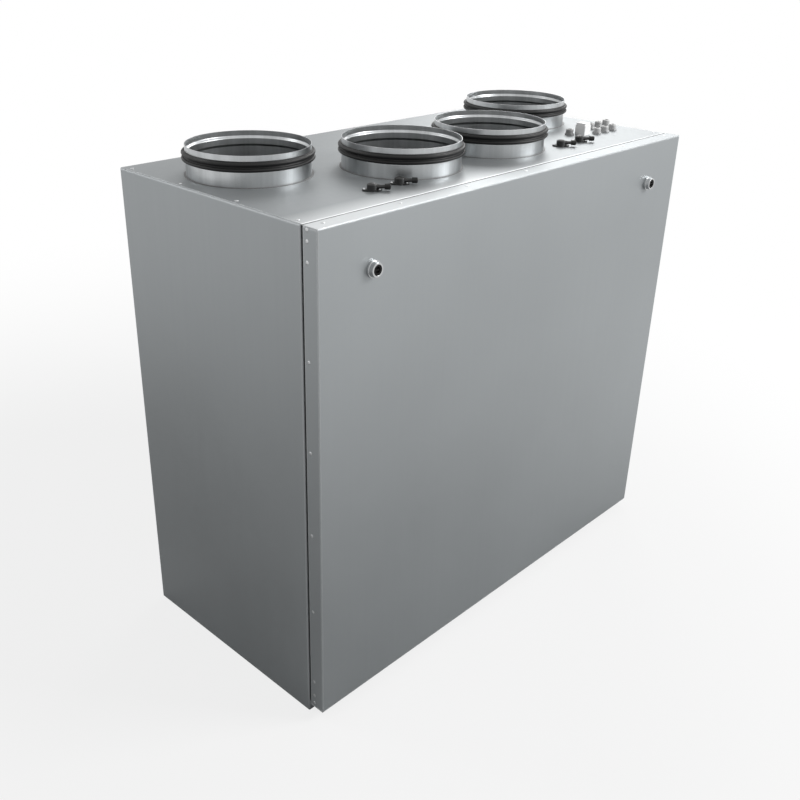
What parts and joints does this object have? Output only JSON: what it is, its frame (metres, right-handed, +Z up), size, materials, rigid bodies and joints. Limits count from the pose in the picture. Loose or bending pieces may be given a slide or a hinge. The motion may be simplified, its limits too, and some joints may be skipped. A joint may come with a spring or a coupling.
{
  "type": "air handling unit",
  "caption": "Upright air handling unit in galvanised sheet: insulated casing, lift-off front panel with round locks, and swaged round duct spigots with lip seals on top.",
  "frame": {"origin": "middle of the casing's flat underside, on the floor", "axes": "+Z up, -Y out of the front panel, +X to the right as seen from the front"},
  "size_m": [1.194, 0.601, 1.126],
  "materials": {
    "galvanised": "satin galvanised sheet",
    "liner": "dull zinc liner",
    "collar": "bright rolled zinc sheet",
    "rubber": "matt",
    "chrome": "polished",
    "black_plastic": "fine grain",
    "white_plastic": "satin",
    "grey_plastic": "satin"
  },
  "bodies": {
    "root": {"left_side_panel": "galvanised", "right_side_panel": "galvanised", "back_panel": "galvanised", "base_panel": "galvanised", "top_sheet": "galvanised", "top_liner": "liner", "door_skin": "galvanised", "door_liner": "liner", "door_gasket_left": "rubber", "door_gasket_right": "rubber", "door_gasket_top": "rubber", "door_gasket_bottom": "rubber", "lock_housing_left": "chrome", "lock_housing_right": "chrome", "lock_insert_left": "black_plastic", "lock_insert_right": "black_plastic", "collar_rear_left": "collar", "collar_front_left": "collar", "collar_front_right": "collar", "collar_rear_right": "collar", "seal_rear_left": "rubber", "seal_front_left": "rubber", "seal_front_right": "rubber", "seal_rear_right": "rubber", "collar_foot_seals": "rubber", "pressure_tap_1": "black_plastic", "pressure_tap_2": "black_plastic", "pressure_tap_3": "black_plastic", "pressure_tap_4": "black_plastic", "tap_cap_1": "rubber", "tap_cap_2": "rubber", "tap_cap_3": "rubber", "tap_cap_4": "rubber", "control_socket": "white_plastic", "single_gland": "grey_plastic", "front_gland_1": "grey_plastic", "front_gland_2": "grey_plastic", "front_gland_3": "grey_plastic", "rear_gland_1": "grey_plastic", "rear_gland_2": "grey_plastic", "rear_gland_3": "grey_plastic"}
  },
  "joints": []
}
